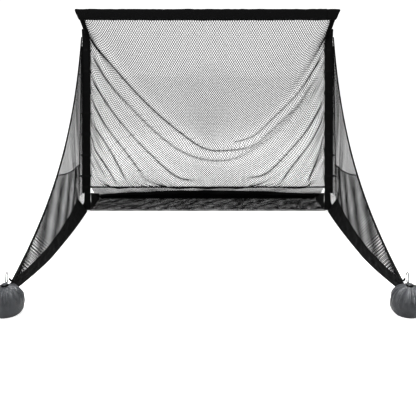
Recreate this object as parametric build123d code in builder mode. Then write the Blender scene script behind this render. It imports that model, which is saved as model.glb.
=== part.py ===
"""Golf practice net: a leaning tube frame with a padded header, a loose catching net, side nets and sandbags.

Millimetres. +Z up, X to the right, and the golfer stands on the -Y side. The origin is on the floor under the
middle of the whole object. Each post leans back, so places on the frame are given by s, the distance up the
post's line from the floor, and q, the distance behind the posts' plane.
"""

import os
from math import cos, pi, radians, sin, tan

from build123d import *

# Driving dimensions
SPAN = 2950.0  # between the two post tubes
LEAN = radians(17.3)  # how far the posts lean back
POST_TOP = 2160.0  # up the post's line to the top bend
TOP_Y, TOP_Z = 340.0, 2280.0  # the top bar, ahead of the post tops and above them
BASE_DEPTH = 575.0  # from the foot line back to the rear bar
FOOT_Y = 991.3  # the foot line, where the posts' line meets the floor
TUBE_R, WALL = 19.0, 1.5
FIT = 0.1  # radial clearance of a swaged end in the next tube
SWAGE = 60.0  # length of a swaged end
TUBE_Z = 22.0  # centre of the tubes that lie along the floor
FOAM_R = 34.0
GAP = 0.3
NET = 3.0  # thickness of a net panel
ROPE_R = 5.0
HEADER_H, HEADER_D, HEADER_LENGTH = 120.0, 84.0, 3075.0
ROPE_S = 295.0  # the lower rope, up the post's line
BAG_X, BAG_Y = 1500.0, -2510.0
BAG_R, BAG_H = 127.5, 236.0
EDGE_TOP, EDGE_PULL, EDGE_END = (633.0, 2033.0), (-370.0, 610.0), (-2400.0, 240.0)
BAND_H = 160.0
BUTTON_R = 4.0
TIE_W = 22.0

HALF = SPAN / 2
UP = Vector(0, sin(LEAN), cos(LEAN))
BACK = Vector(0, cos(LEAN), -sin(LEAN))
ACROSS = Vector(1, 0, 0)
INNER_R = TUBE_R - WALL
SWAGE_R = INNER_R - FIT
SIDES = (("left", -1), ("right", 1))

os.makedirs("parts", exist_ok=True)


def at(x, y, z):
    """A point from its distance behind the foot line."""
    return Vector(x, FOOT_Y + y, z)


def on_frame(x, s, q=0.0):
    """A point on the leaning frame."""
    return at(x, 0, 0) + UP * s + BACK * q


def save(piece, name):
    piece.part.label = name
    export_step(piece.part, f"parts/{name}.step")


def ring_plane(point, axis, across=None):
    return Plane(origin=point, x_dir=across, z_dir=axis) if across else Plane(origin=point, z_dir=axis)


# Tubes -------------------------------------------------------------------------------------------------


def straight_tube(start, end, swaged=False, start_hole=None, end_hole=None):
    """A tube whose start slips over the last tube's swaged end. A hole's direction points out of the tube."""
    axis = (end - start).normalized()
    with BuildPart() as tube:
        with BuildSketch(ring_plane(start, axis)):
            Circle(TUBE_R)
            Circle(INNER_R, mode=Mode.SUBTRACT)
        extrude(amount=(end - start).length)
        if swaged:
            with BuildSketch(ring_plane(end - axis * 3, axis)):
                Circle(TUBE_R)
                Circle(SWAGE_R - WALL, mode=Mode.SUBTRACT)
            extrude(amount=3)
            with BuildSketch(ring_plane(end, axis)):
                Circle(SWAGE_R)
                Circle(SWAGE_R - WALL, mode=Mode.SUBTRACT)
            extrude(amount=SWAGE)
        for hole, spot in ((start_hole, start + axis * SWAGE / 2), (end_hole, end + axis * SWAGE / 2)):
            if hole is not None:
                with BuildSketch(ring_plane(spot, hole)):
                    Circle(BUTTON_R + 0.15)
                extrude(amount=TUBE_R + 5, mode=Mode.SUBTRACT)
    return tube


def bent_tube(points, radius, holes=()):
    """A tube through the points with rounded bends, swaged at both ends. Holes are for snap buttons."""
    with BuildPart() as tube:
        with BuildLine():
            FilletPolyline(*points, radius=radius)
        first = (points[1] - points[0]).normalized()
        with BuildSketch(ring_plane(points[0], first)):
            Circle(TUBE_R)
            Circle(INNER_R, mode=Mode.SUBTRACT)
        sweep()
        for end, before in ((points[0], points[1]), (points[-1], points[-2])):
            out = (end - before).normalized()
            with BuildSketch(ring_plane(end - out * 3, out)):
                Circle(TUBE_R)
                Circle(SWAGE_R - WALL, mode=Mode.SUBTRACT)
            extrude(amount=3)
            with BuildSketch(ring_plane(end, out)):
                Circle(SWAGE_R)
                Circle(SWAGE_R - WALL, mode=Mode.SUBTRACT)
            extrude(amount=SWAGE)
        for spot, hole in holes:
            with BuildSketch(ring_plane(spot, hole)):
                Circle(BUTTON_R + 0.15)
            extrude(amount=TUBE_R + 5, mode=Mode.SUBTRACT)
    return tube


FOOT_BEND, TOP_BEND = 50.0, 60.0
FOOT_TANGENT = FOOT_BEND * tan((pi / 2 + LEAN) / 2)
STUB = 40.0  # straight tube between a bend and its joint
FOOT_S = TUBE_Z / cos(LEAN)  # where the post's line meets the floor tubes' height
ARM = at(0, TOP_Y, TOP_Z) - on_frame(0, POST_TOP)
ARM_WAY = ARM.normalized()
TOP_TANGENT = TOP_BEND * tan(radians(UP.get_angle(ARM_WAY)) / 2)
LOW_JOINT_S = FOOT_S + FOOT_TANGENT + STUB
MID_JOINT_S = 1150.0
HIGH_JOINT_S = POST_TOP - TOP_TANGENT - STUB
TOP_JOINT_X = HALF - TOP_BEND - STUB
FRONT_JOINT_Y = FOOT_S * sin(LEAN) + FOOT_TANGENT + STUB
BACK_JOINT_Y = BASE_DEPTH - FOOT_BEND - STUB
REAR_JOINT_X = HALF - FOOT_BEND - STUB

joints = []  # each sprung joint: its name, the button's place on the tube's axis, the tube's axis, and out

for side, sx in SIDES:
    x = sx * HALF
    corner = at(x, FOOT_S * sin(LEAN), TUBE_Z)
    low_spot = on_frame(x, LOW_JOINT_S + SWAGE / 2)
    foot_points = [at(x, FRONT_JOINT_Y, TUBE_Z), corner, on_frame(x, LOW_JOINT_S)]
    save(bent_tube(foot_points, FOOT_BEND, [(low_spot, BACK)]), f"foot_elbow_{side}")
    joints.append((f"foot_{side}", low_spot, UP, BACK))

    save(straight_tube(at(x, BACK_JOINT_Y, TUBE_Z), at(x, FRONT_JOINT_Y, TUBE_Z)), f"base_tube_{side}")

    rear_points = [at(x, BACK_JOINT_Y, TUBE_Z), at(x, BASE_DEPTH, TUBE_Z)]
    rear_points.append(at(sx * REAR_JOINT_X, BASE_DEPTH, TUBE_Z))
    save(bent_tube(rear_points, FOOT_BEND), f"rear_elbow_{side}")

    mid_spot = on_frame(x, MID_JOINT_S + SWAGE / 2)
    lower = straight_tube(on_frame(x, LOW_JOINT_S), on_frame(x, MID_JOINT_S), True, BACK, BACK)
    save(lower, f"post_lower_{side}")
    joints.append((f"post_{side}", mid_spot, UP, BACK))

    upper = straight_tube(on_frame(x, MID_JOINT_S), on_frame(x, HIGH_JOINT_S), start_hole=BACK)
    save(upper, f"post_upper_{side}")

    arm_points = [on_frame(x, HIGH_JOINT_S), on_frame(x, POST_TOP), at(x, TOP_Y, TOP_Z)]
    arm_points.append(at(sx * TOP_JOINT_X, TOP_Y, TOP_Z))
    save(bent_tube(arm_points, TOP_BEND), f"top_arm_{side}")

BEHIND = Vector(0, 1, 0)
BARS = (("top_bar", TOP_JOINT_X, TOP_Y, TOP_Z), ("rear_bar", REAR_JOINT_X, BASE_DEPTH, TUBE_Z))
for name, half, y, z in BARS:
    middle = at(0, y, z)
    save(straight_tube(at(-half, y, z), middle, True, end_hole=BEHIND), f"{name}_left")
    right = straight_tube(middle, at(half, y, z), start_hole=BEHIND)
    save(right, f"{name}_right")
    joints.append((name, middle + ACROSS * SWAGE / 2, ACROSS, BEHIND))

# Snap buttons and their leaf springs -------------------------------------------------------------------

FLANGE_R, FLANGE_OUT, FLANGE_T = 6.0, SWAGE_R - WALL - 1.6, 1.6
LEAF_T, LEAF_W, LEAF_L = 0.6, 9.0, 46.0

for name, spot, axis, out in joints:
    with BuildPart() as button:
        with BuildSketch(ring_plane(spot + out * (FLANGE_OUT - FLANGE_T), out)):
            Circle(FLANGE_R)
        extrude(amount=FLANGE_T)
        with BuildSketch(ring_plane(spot + out * (FLANGE_OUT - FLANGE_T), out)):
            Circle(BUTTON_R)
        extrude(amount=TUBE_R + 3.5 - FLANGE_OUT + FLANGE_T)
        fillet(button.faces().sort_by(Axis(spot, out))[-1].edges(), 2.2)
    save(button, f"snap_button_{name}")

with BuildPart() as leaf_springs:
    for _, spot, axis, out in joints:
        with BuildSketch(Plane(origin=spot, x_dir=axis, z_dir=axis.cross(out))):
            with BuildLine():
                outer = FLANGE_OUT - FLANGE_T - 0.05
                Polyline(
                    (-7, outer), (20, outer - 3), (LEAF_L, 0), (20, 3 - outer), (-7, -outer),
                    (-7, LEAF_T - outer), (20, 3 + LEAF_T - outer), (LEAF_L - 2, 0),
                    (20, outer - 3 - LEAF_T), (-7, outer - LEAF_T), close=True,
                )
            make_face()
        extrude(amount=LEAF_W / 2, both=True)
save(leaf_springs, "leaf_springs")

# Floor pads: rubber blocks that clip round the floor tubes ---------------------------------------------

with BuildPart() as floor_pads:
    for sx in (-1, 1):
        pads = (
            (at(sx * HALF, FRONT_JOINT_Y - 28, 0), Vector(0, 1, 0)),
            (at(sx * HALF, BACK_JOINT_Y + 6, 0), Vector(0, 1, 0)),
            (at(sx * (REAR_JOINT_X + 28), BASE_DEPTH, 0), Vector(-sx, 0, 0)),
        )
        for foot, along in pads:
            side_way = Vector(0, 0, 1).cross(along)
            with BuildSketch(Plane(origin=foot, x_dir=side_way, z_dir=along)):
                with Locations((0, TUBE_Z)):
                    Circle(TUBE_R + 4)
                with Locations((0, TUBE_Z / 2)):
                    Rectangle(38, TUBE_Z)
                with Locations((0, TUBE_Z)):
                    Circle(TUBE_R + 0.1, mode=Mode.SUBTRACT)
                with Locations((0, -10)):
                    Rectangle(60, 20, mode=Mode.SUBTRACT)
            extrude(amount=22)
save(floor_pads, "floor_pads")

# Foam and fabric sleeves -------------------------------------------------------------------------------


def foam(spans):
    """Split foam tubes, one for each pair of ends."""
    with BuildPart() as pads:
        for start, end in spans:
            with BuildSketch(ring_plane(start, (end - start).normalized())):
                Circle(FOAM_R)
                Circle(TUBE_R + GAP, mode=Mode.SUBTRACT)
            extrude(amount=(end - start).length)
    return pads


SLEEVE_LOW, SLEEVE_TOP = 221.0, HIGH_JOINT_S - 4
SLEEVE_SHIFT, SLEEVE_HALF_W, SLEEVE_HALF_D = 15.5, 50.5, 41.0

for side, sx in SIDES:
    x = sx * HALF
    spans = [(SLEEVE_LOW + 2, MID_JOINT_S - 15), (MID_JOINT_S + SWAGE + 15, SLEEVE_TOP - 2)]
    save(foam([(on_frame(x, a), on_frame(x, b)) for a, b in spans]), f"post_foam_{side}")

    with BuildPart() as sleeve:
        with BuildSketch(Plane(origin=on_frame(x, SLEEVE_LOW), x_dir=ACROSS, z_dir=UP)):
            with Locations((sx * SLEEVE_SHIFT, 0)):
                Ellipse(SLEEVE_HALF_W, SLEEVE_HALF_D)
            Circle(FOAM_R + GAP, mode=Mode.SUBTRACT)
        extrude(amount=SLEEVE_TOP - SLEEVE_LOW)
    save(sleeve, f"post_sleeve_{side}")

HEADER_Z = TOP_Z + 1
COVER_X = TOP_JOINT_X - 2
top_spans = [(-COVER_X + 2, -20), (SWAGE + 20, COVER_X - 2)]
save(foam([(at(a, TOP_Y, TOP_Z), at(b, TOP_Y, TOP_Z)) for a, b in top_spans]), "top_foam")


def header_section(x, bore):
    """The header's upright rounded section, on a plane across X."""
    with BuildSketch(Plane(origin=at(x, TOP_Y, TOP_Z), x_dir=(0, 1, 0), z_dir=(1, 0, 0))) as section:
        with Locations((0, HEADER_Z - TOP_Z)):
            RectangleRounded(HEADER_D, HEADER_H, HEADER_D * 0.42)
        if bore:
            Circle(bore, mode=Mode.SUBTRACT)
    return section.sketch


with BuildPart() as header_sleeve:
    extrude(header_section(-COVER_X, FOAM_R + GAP), amount=2 * COVER_X)
save(header_sleeve, "header_sleeve")

BOOT_R = 24.0
END_SLANT = 50.0  # how far the header's lower corners stand in from its upper ones
for side, sx in SIDES:
    x = sx * HALF
    top, bar_end = on_frame(x, POST_TOP), at(x, TOP_Y, TOP_Z)
    with BuildPart() as boot:
        extrude(header_section(sx * (COVER_X + 1), 0), amount=sx * (HEADER_LENGTH / 2 - COVER_X - 1))
        with BuildSketch(Plane.XZ.offset(-(FOOT_Y + TOP_Y))):
            with BuildLine():
                end_x, low_z = sx * HEADER_LENGTH / 2, HEADER_Z - HEADER_H / 2 - 1
                Polyline(
                    (end_x, HEADER_Z + HEADER_H / 2), (end_x - sx * END_SLANT, low_z),
                    (end_x + sx * 10, low_z), close=True,
                )
            make_face()
        extrude(amount=HEADER_D, both=True, mode=Mode.SUBTRACT)
        with BuildSketch(Plane(origin=on_frame(x, SLEEVE_TOP + 1), x_dir=ACROSS, z_dir=UP)):
            with Locations((sx * SLEEVE_SHIFT, 0)):
                Ellipse(SLEEVE_HALF_W, SLEEVE_HALF_D)
        with BuildSketch(Plane(origin=on_frame(x, SLEEVE_TOP + 38), x_dir=ACROSS, z_dir=UP)):
            Circle(BOOT_R)
        loft()
        for radius, start, end, mode in (
            (BOOT_R, SLEEVE_TOP + 20, COVER_X + 10, Mode.ADD),
            (TUBE_R + GAP, SLEEVE_TOP - 10, COVER_X - 10, Mode.SUBTRACT),
        ):
            with BuildLine():
                inside = at(sx * end, TOP_Y, TOP_Z)
                FilletPolyline(on_frame(x, start), top, bar_end, inside, radius=TOP_BEND)
            with BuildSketch(ring_plane(on_frame(x, start), UP)):
                Circle(radius)
            sweep(mode=mode)
    save(boot, f"corner_boot_{side}")

# Foot covers: short fabric sleeves between the post sleeves and the floor ----------------------------------

COVER_LOW, COVER_R = 98.0, 36.0
with BuildPart() as foot_covers:
    for _, sx in SIDES:
        with BuildSketch(ring_plane(on_frame(sx * HALF, COVER_LOW), UP)):
            Circle(COVER_R)
            Circle(TUBE_R + 5, mode=Mode.SUBTRACT)
        extrude(amount=SLEEVE_LOW - 1 - COVER_LOW)
save(foot_covers, "foot_covers")

# The rear hem pocket: a loose fabric tunnel over the rear bar, gathered higher in the middle ------------

POCKET_HALF, POCKET_D, POCKET_MID, POCKET_END = 1388.0, 78.0, 100.0, 50.0
POCKET_BORE = TUBE_R + 6
with BuildPart() as rear_pocket:
    with BuildSketch(Plane(origin=at(0, BASE_DEPTH + POCKET_D / 2, 0), x_dir=(1, 0, 0), z_dir=(0, -1, 0))):
        with BuildLine():
            arch = ThreePointArc((-POCKET_HALF, POCKET_END), (0, POCKET_MID), (POCKET_HALF, POCKET_END))
            Polyline(arch @ 1, (POCKET_HALF, 0.5), (-POCKET_HALF, 0.5), arch @ 0)
        make_face()
    extrude(amount=POCKET_D)
    bore_start = at(-POCKET_HALF - 5, BASE_DEPTH, TUBE_Z)
    with BuildSketch(Plane(origin=bore_start, x_dir=(0, 1, 0), z_dir=(1, 0, 0))):
        Circle(POCKET_BORE)
        with Locations((0, -TUBE_Z)):
            Rectangle(2 * POCKET_BORE, 2 * TUBE_Z)
    extrude(amount=2 * POCKET_HALF + 10, mode=Mode.SUBTRACT)
save(rear_pocket, "rear_pocket")

# The catching net, its lower part and the floor apron --------------------------------------------------

NET_HALF = 1424.0
NET_STATIONS = 12


def hang(u, v):
    """The net's place at v down from the header, 0 to 1, and u across, -1 to 1, as (s, q)."""
    top_s, top_q = 2214.0, -330.0
    s = top_s + (ROPE_S + 14 - top_s) * v
    edge_q = top_q * max(0.0, 1 - v / 0.09) ** 1.4 + 8 + 12 * sin(pi * v)
    belly_q = top_q * (1 - v) ** 1.15 + 420 * sin(pi * v**1.5) * (1 - 0.35 * v) + 8
    share = (1 - u * u) ** 0.6 if abs(u) < 1 else 0.0
    return s, edge_q + (belly_q - edge_q) * share


def hang_section(x):
    """The net cut across X: its front line and, behind it, its back line."""
    rows = [0, 0.045, 0.09, 0.2, 0.33, 0.46, 0.6, 0.72, 0.82, 0.9, 0.96, 1]
    places = [hang(x / NET_HALF, v) for v in rows]
    line = [on_frame(0, s, q) for s, q in places]
    line += [on_frame(0, s, q + NET) for s, q in reversed(places)]
    return [(p.Y, p.Z) for p in line]


with BuildPart() as main_net:
    for i in range(NET_STATIONS + 1):
        x = NET_HALF * -cos(pi * i / NET_STATIONS)
        with BuildSketch(Plane.YZ.offset(x)):
            with BuildLine():
                Polyline(*hang_section(x), close=True)
            make_face()
    loft(ruled=True)
save(main_net, "main_net")

rope = on_frame(0, ROPE_S)
LOWER_NET_TOP, LOWER_NET_END = (rope.Y + 2, rope.Z - 12), (FOOT_Y + BASE_DEPTH - POCKET_D / 2 - 4, 46.0)
with BuildPart() as lower_net:
    with BuildSketch(Plane.YZ.offset(-NET_HALF)):
        with BuildLine():
            Polyline(
                LOWER_NET_TOP, LOWER_NET_END, (LOWER_NET_END[0], LOWER_NET_END[1] - NET),
                (LOWER_NET_TOP[0], LOWER_NET_TOP[1] - NET), close=True,
            )
        make_face()
    extrude(amount=2 * NET_HALF)
save(lower_net, "lower_net")

HEM_D, APRON_Z = 14.0, 0.5
with BuildPart() as floor_apron:
    with BuildSketch(Plane.XY.offset(APRON_Z)):
        depth = BASE_DEPTH - POCKET_D / 2 - HEM_D - 2
        with Locations((0, FOOT_Y + HEM_D + 1 + depth / 2)):
            Rectangle(2 * NET_HALF, depth)
    extrude(amount=NET)
save(floor_apron, "floor_apron")

with BuildPart() as front_hem:
    with BuildSketch(Plane.XY.offset(APRON_Z)):
        with Locations((0, FOOT_Y + HEM_D / 2)):
            Rectangle(2 * (HALF - TUBE_R - 6), HEM_D)
    extrude(amount=NET)
save(front_hem, "front_hem")

# The taut lower rope, its hooks and the ties round the post sleeves ------------------------------------


def hem_x(y):
    """How far out the side net's hem beside the post stands."""
    return 1545 + 38 * (1 - y / EDGE_TOP[0])


ROPE_HALF = NET_HALF - 2
with BuildPart() as bottom_rope:
    with BuildSketch(ring_plane(on_frame(-ROPE_HALF, ROPE_S), ACROSS)):
        Circle(ROPE_R)
    extrude(amount=2 * ROPE_HALF)
save(bottom_rope, "bottom_rope")


def strap(x, sx, s, tab_from, tab_to):
    """A webbing loop round a post sleeve, with a tab from it along X."""
    with BuildSketch(Plane(origin=on_frame(x, s), x_dir=ACROSS, z_dir=UP)) as loop:
        with Locations((sx * SLEEVE_SHIFT, 0)):
            Ellipse(SLEEVE_HALF_W + 2.6, SLEEVE_HALF_D + 2.6)
        with Locations(((tab_from + tab_to) / 2, 0)):
            Rectangle(abs(tab_to - tab_from), 8)
        with Locations((sx * SLEEVE_SHIFT, 0)):
            Ellipse(SLEEVE_HALF_W + 0.5, SLEEVE_HALF_D + 0.5, mode=Mode.SUBTRACT)
    return loop.sketch


TIES = 7
with BuildPart() as post_ties:
    for _, sx in SIDES:
        for i in range(TIES):
            s = 420.0 + (HIGH_JOINT_S - 120 - 420) * i / (TIES - 1)
            tab = sx * (hem_x(s * sin(LEAN)) - HALF - 10)
            extrude(strap(sx * HALF, sx, s, sx * 40, tab), amount=TIE_W)
save(post_ties, "post_ties")

with BuildPart() as rope_hooks:
    for _, sx in SIDES:
        tab = -sx * (HALF - ROPE_HALF - 0.3)
        extrude(strap(sx * HALF, sx, ROPE_S - TIE_W / 2, -sx * 30, tab), amount=TIE_W)
save(rope_hooks, "rope_hooks")

# Side nets ---------------------------------------------------------------------------------------------


def edge_point(t):
    """The free front edge, from the post's top to the sandbag, as a quadratic curve."""
    a, b, c = (1 - t) ** 2, 2 * t * (1 - t), t * t
    return tuple(a * p + b * q + c * r for p, q, r in zip(EDGE_TOP, EDGE_PULL, EDGE_END))


def edge_height(y):
    """The free edge's height at a distance behind the foot line."""
    low, high = 0.0, 1.0
    for _ in range(40):
        middle = (low + high) / 2
        low, high = (middle, high) if edge_point(middle)[0] > y else (low, middle)
    return edge_point(low)[1]


SIDE_END = -2388.0


def reach(y):
    return max(0.0, min(1.0, y / SIDE_END))


def foot_x(y):
    """How far out the bottom edge lies: it bows in a little near the post."""
    t = reach(y)
    return HALF + 27 * t - 38 * sin(pi * t) * (1 - t)


def band_x(y):
    """How far out the band's top edge stands."""
    t = reach(y)
    return foot_x(y) + 108 * (1 - t) ** 2


def top_x(y):
    """How far out the free edge stands."""
    if y > 0:
        return 1545 + 13 * (1 - y / EDGE_TOP[0])
    return 1558 - 62 * reach(y)


def bottom_z(y):
    """The lower edge's height: on the floor, and up over the sandbag at its end."""
    return 1.0 + 172 * max(0.0, (reach(y) - 0.86) / 0.14) ** 1.5


def panel(stations):
    """A thin solid through upright cuts across Y, each given as (y, [(x, z), ...])."""
    with BuildPart() as sheet:
        for y, line in stations:
            back = [(x + NET, z) for x, z in reversed(line)]
            with BuildSketch(Plane.XZ.offset(-(FOOT_Y + y))):
                with BuildLine():
                    Polyline(*line, *back, close=True)
                make_face()
        loft(ruled=True)
    return sheet


def net_line(y):
    post_z = y / tan(LEAN)
    low = (hem_x(y) if y > 0 else band_x(y), max(band_line(y)[1][1] + 2, post_z + 12))
    high = (top_x(y), max(edge_height(y) - 2, low[1] + 8))
    middle = ((low[0] + high[0]) / 2, (low[1] + high[1]) / 2)
    return [low, middle, high]


def band_line(y):
    return [(foot_x(y), bottom_z(y)), (band_x(y), bottom_z(y) + BAND_H * (1 - 0.72 * reach(y) ** 3))]


BESIDE_POST = [edge_point(0.015 + 0.035 * i)[0] for i in range(8)]
AHEAD = [-14.0] + [edge_point(0.34 + 0.05 * i)[0] for i in range(14)] + [SIDE_END]
side_net = panel([(y, net_line(y)) for y in BESIDE_POST + AHEAD])
side_band = panel([(y, band_line(y)) for y in AHEAD])
ROPE_OFF = 8.0


def rope_point(t):
    """The edge rope's centre, just outside the net's free edge."""
    (y, z), (next_y, next_z) = edge_point(t), edge_point(t + 0.01)
    along = Vector(0, next_y - y, next_z - z).normalized()
    return at(top_x(y) + NET / 2, y + ROPE_OFF * along.Z, z - ROPE_OFF * along.Y)


with BuildPart() as edge_rope:
    with BuildLine():
        lifted = [rope_point(t / 16) for t in range(17)]
        Spline(*lifted)
    with BuildSketch(ring_plane(lifted[0], (lifted[1] - lifted[0]).normalized())):
        Circle(ROPE_R - 1)
    sweep()

# Sandbags ----------------------------------------------------------------------------------------------

FABRIC = 2.0
NECK_R, BAG_BASE_R = 17.0, 78.0


def bag_outline(inset):
    """Half of the bag's upright section, from the middle of its base to the middle of its neck."""
    flat = BAG_BASE_R - inset
    neck = NECK_R - inset
    belly = BAG_R - inset
    return flat, neck, belly


with BuildPart() as sandbag:
    with BuildSketch(Plane(origin=at(BAG_X, BAG_Y, 0), x_dir=(1, 0, 0), z_dir=(0, -1, 0))):
        with BuildLine():
            flat, neck, belly = bag_outline(0)
            side_curve = Spline((flat, 0), (belly, 0.43 * BAG_H), (56, 0.86 * BAG_H), (neck, BAG_H - 16))
            rim = Line(side_curve @ 1, (neck + 9, BAG_H))
            flat_in, neck_in, belly_in = bag_outline(FABRIC)
            inside = Spline(
                (flat_in, FABRIC), (belly_in, 0.43 * BAG_H), (55, 0.86 * BAG_H - FABRIC),
                (neck_in, BAG_H - 17),
            )
            Line(rim @ 1, (neck_in + 9, BAG_H))
            Line((neck_in + 9, BAG_H), inside @ 1)
            Line(inside @ 0, (0, FABRIC))
            Line((0, FABRIC), (0, 0))
            Line((0, 0), side_curve @ 0)
        make_face()
    revolve(axis=Axis(at(BAG_X, BAG_Y, 0), (0, 0, 1)))

with BuildPart() as sand:
    with BuildSketch(Plane(origin=at(BAG_X, BAG_Y, 0), x_dir=(1, 0, 0), z_dir=(0, -1, 0))):
        with BuildLine():
            flat, neck, belly = bag_outline(FABRIC + 1.5)
            heap = Spline((flat, FABRIC + 1), (belly, 0.43 * BAG_H), (72, 0.78 * BAG_H))
            Line(heap @ 1, (0, 0.80 * BAG_H))
            Line((0, 0.80 * BAG_H), (0, FABRIC + 1))
            Line((0, FABRIC + 1), heap @ 0)
        make_face()
    revolve(axis=Axis(at(BAG_X, BAG_Y, 0), (0, 0, 1)))

CORD_R = 3.0
with BuildPart() as bag_tie:
    with BuildSketch(Plane(origin=at(BAG_X, BAG_Y, 0), x_dir=(1, 0, 0), z_dir=(0, -1, 0))):
        with Locations((NECK_R + CORD_R + 6.5, BAG_H - 16 + CORD_R + 1)):
            Circle(CORD_R)
    revolve(axis=Axis(at(BAG_X, BAG_Y, 0), (0, 0, 1)))

# Carabiner: a bent wire hook that joins the bag's tie to the net's corner, with a sprung gate on a pin
HOOK_R, HOOK_L, HOOK_W = 3.0, 74.0, 34.0
HOOK_AT = at(BAG_X, BAG_Y + NECK_R + 34, BAG_H - 14)
HOOK_UP = Vector(0, 0.42, 1).normalized()
HOOK_SIDE = Vector(0, 1, -0.42).normalized()


def on_hook(side, up):
    return HOOK_AT + HOOK_SIDE * side + HOOK_UP * up


GATE_LOW, GATE_HIGH, GATE_NECK = 14.0, HOOK_L - 20, 6.0
with BuildPart() as carabiner:
    with BuildLine():
        FilletPolyline(
            on_hook(HOOK_W / 2, GATE_HIGH + 1), on_hook(HOOK_W / 2, HOOK_L), on_hook(-HOOK_W / 2, HOOK_L),
            on_hook(-HOOK_W / 2, 0), on_hook(HOOK_W / 2, 0), on_hook(HOOK_W / 2, GATE_LOW - 8),
            radius=[9, 13, 13, 5],
        )
    with BuildSketch(ring_plane(on_hook(HOOK_W / 2, GATE_HIGH + 1), HOOK_UP)):
        Circle(HOOK_R)
    sweep()
    for ear in (-1, 1):
        ear_at = on_hook(HOOK_W / 2, GATE_LOW - 8) + ACROSS * (ear * 2.5 - 0.6)
        with BuildSketch(Plane(origin=ear_at, x_dir=HOOK_UP, z_dir=ACROSS)):
            with Locations((4, 0)):
                RectangleRounded(16, 6.4, 3)
            with Locations((8, 0)):
                Circle(1.25, mode=Mode.SUBTRACT)
        extrude(amount=1.2)

PIN_AT = on_hook(HOOK_W / 2, GATE_LOW)
with BuildPart() as gate:
    with BuildSketch(ring_plane(PIN_AT + HOOK_UP * GATE_NECK, HOOK_UP)):
        Circle(HOOK_R - 0.6)
    extrude(amount=GATE_HIGH - GATE_LOW - GATE_NECK - 0.6)
    with BuildSketch(Plane(origin=PIN_AT - ACROSS * 1.5, x_dir=HOOK_UP, z_dir=ACROSS)):
        Circle(2.9)
        with Locations((GATE_NECK / 2 + 0.5, 0)):
            Rectangle(GATE_NECK + 1, 4)
        Circle(1.25, mode=Mode.SUBTRACT)
    extrude(amount=3)

with BuildPart() as gate_pin:
    with BuildSketch(ring_plane(PIN_AT - ACROSS * 3.8, ACROSS)):
        Circle(1.2)
    extrude(amount=7.6)

hung = {
    "side_net": side_net, "side_band": side_band, "edge_rope": edge_rope, "sandbag": sandbag,
    "sand_fill": sand, "bag_tie": bag_tie, "carabiner": carabiner, "carabiner_gate": gate,
    "gate_pin": gate_pin,
}
for name, piece in hung.items():
    save(piece, f"{name}_right")
    with BuildPart() as mirrored:
        mirror(piece.part, about=Plane.YZ)
    save(mirrored, f"{name}_left")

print("rope radii: the lower rope is straight; each edge rope follows one curve from the post to the bag")
print("carabiner pin at", PIN_AT, "hook up", HOOK_UP)
for name, spot, axis, out in joints:
    print(name, spot, out)
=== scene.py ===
from math import cos, pi, radians, sin, sqrt, tan

import bpy
import numpy as np
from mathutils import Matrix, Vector


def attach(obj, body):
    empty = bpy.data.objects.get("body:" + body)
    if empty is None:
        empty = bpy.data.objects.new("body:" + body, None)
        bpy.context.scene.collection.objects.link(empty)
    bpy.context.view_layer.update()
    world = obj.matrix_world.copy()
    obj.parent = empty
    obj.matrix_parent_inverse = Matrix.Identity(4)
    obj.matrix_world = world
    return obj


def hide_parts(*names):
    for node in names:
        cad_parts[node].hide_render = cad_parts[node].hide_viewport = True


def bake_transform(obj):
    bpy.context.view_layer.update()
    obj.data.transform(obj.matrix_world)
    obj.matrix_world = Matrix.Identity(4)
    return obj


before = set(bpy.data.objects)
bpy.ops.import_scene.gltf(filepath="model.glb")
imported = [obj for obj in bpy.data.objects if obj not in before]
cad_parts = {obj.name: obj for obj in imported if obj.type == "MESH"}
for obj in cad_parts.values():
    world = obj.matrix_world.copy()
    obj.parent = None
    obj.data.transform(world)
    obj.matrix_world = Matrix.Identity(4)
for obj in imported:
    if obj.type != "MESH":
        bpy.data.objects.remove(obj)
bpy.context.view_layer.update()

# Measures in metres, the same as the CAD's
FY = 0.9913  # the front line of the posts' feet
LEAN = radians(17.3)  # how far the posts lean back
UP = np.array([0, sin(LEAN), cos(LEAN)])  # along a post
BACK = np.array([0, cos(LEAN), -sin(LEAN)])  # square to the posts, to the rear
HALF = 1.475  # from the middle to a post
SIDES = (("left", -1), ("right", 1))
BAR = 0.025  # one side of the catching net's mesh
# Looks only
TWINE = 0.0031  # the catching net's twine, drawn thicker than a real one
EYE, EYE_UP = 6.15, 0.0365  # the camera's place before the posts' plane and up along it, for reading the folds


def on_frame(x, s, q=0.0):
    """The point x across, s up the leaning frame and q behind it."""
    return np.array([x, FY, 0.0]) + UP * s + BACK * q


def at(x, y, z):
    """The point y behind the foot line."""
    return np.array([x, FY + y, z])


# Materials ---------------------------------------------------------------------------------------------


def material(name, color, roughness, metallic=0.0, sheen=0.0, specular=0.5):
    m = bpy.data.materials.new(name)
    m.use_nodes = True
    b = m.node_tree.nodes["Principled BSDF"]
    b.inputs["Base Color"].default_value = (*color, 1)
    b.inputs["Roughness"].default_value = roughness
    b.inputs["Metallic"].default_value = metallic
    b.inputs["Sheen Weight"].default_value = sheen
    b.inputs["Specular IOR Level"].default_value = specular
    return m


def node(m, kind, **values):
    n = m.node_tree.nodes.new(kind)
    for k, v in values.items():
        if k in n.inputs:
            n.inputs[k].default_value = v
        else:
            setattr(n, k, v)
    return n


def link(m, a, out, b, into):
    m.node_tree.links.new(a.outputs[out], b.inputs[into])


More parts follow.
